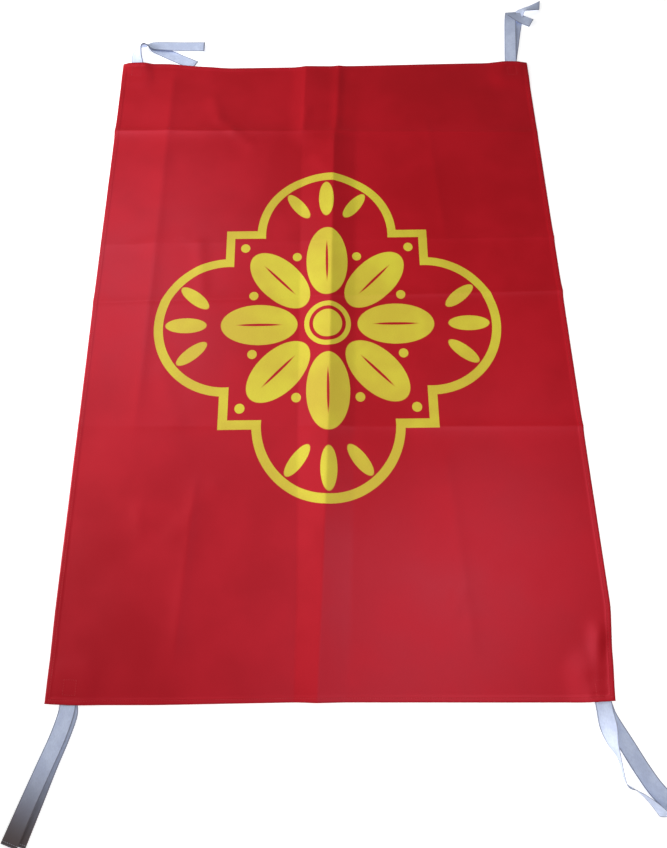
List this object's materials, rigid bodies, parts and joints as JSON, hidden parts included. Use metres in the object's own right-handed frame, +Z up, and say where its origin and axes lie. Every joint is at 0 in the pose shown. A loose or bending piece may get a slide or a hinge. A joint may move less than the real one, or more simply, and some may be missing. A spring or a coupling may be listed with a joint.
{
  "type": "palio banner",
  "caption": "Upright red satin festival banner with a yellow outlined design and folded white tape ties behind its corners, laid out flat.",
  "frame": {"origin": "on the surface the banner lies on, under the middle of the whole part's box, ties included", "axes": "+Z up from the surface towards the printed face, +Y towards the banner's top edge, +X to the right as the banner is read"},
  "size_m": [0.7832, 1.2842, 0.0213],
  "materials": {
    "banner_cloth": "smooth satin with a soft sheen, bright red",
    "tie_top_left": "matt woven tape, cool white",
    "tie_top_right": "matt woven tape, cool white",
    "tie_bottom_left": "matt woven tape, cool white",
    "tie_bottom_right": "matt woven tape, cool white"
  },
  "bodies": {
    "root": {"banner_cloth": "banner_cloth", "tie_top_left": "tie_top_left", "tie_top_right": "tie_top_right", "tie_bottom_left": "tie_bottom_left", "tie_bottom_right": "tie_bottom_right"}
  },
  "joints": []
}
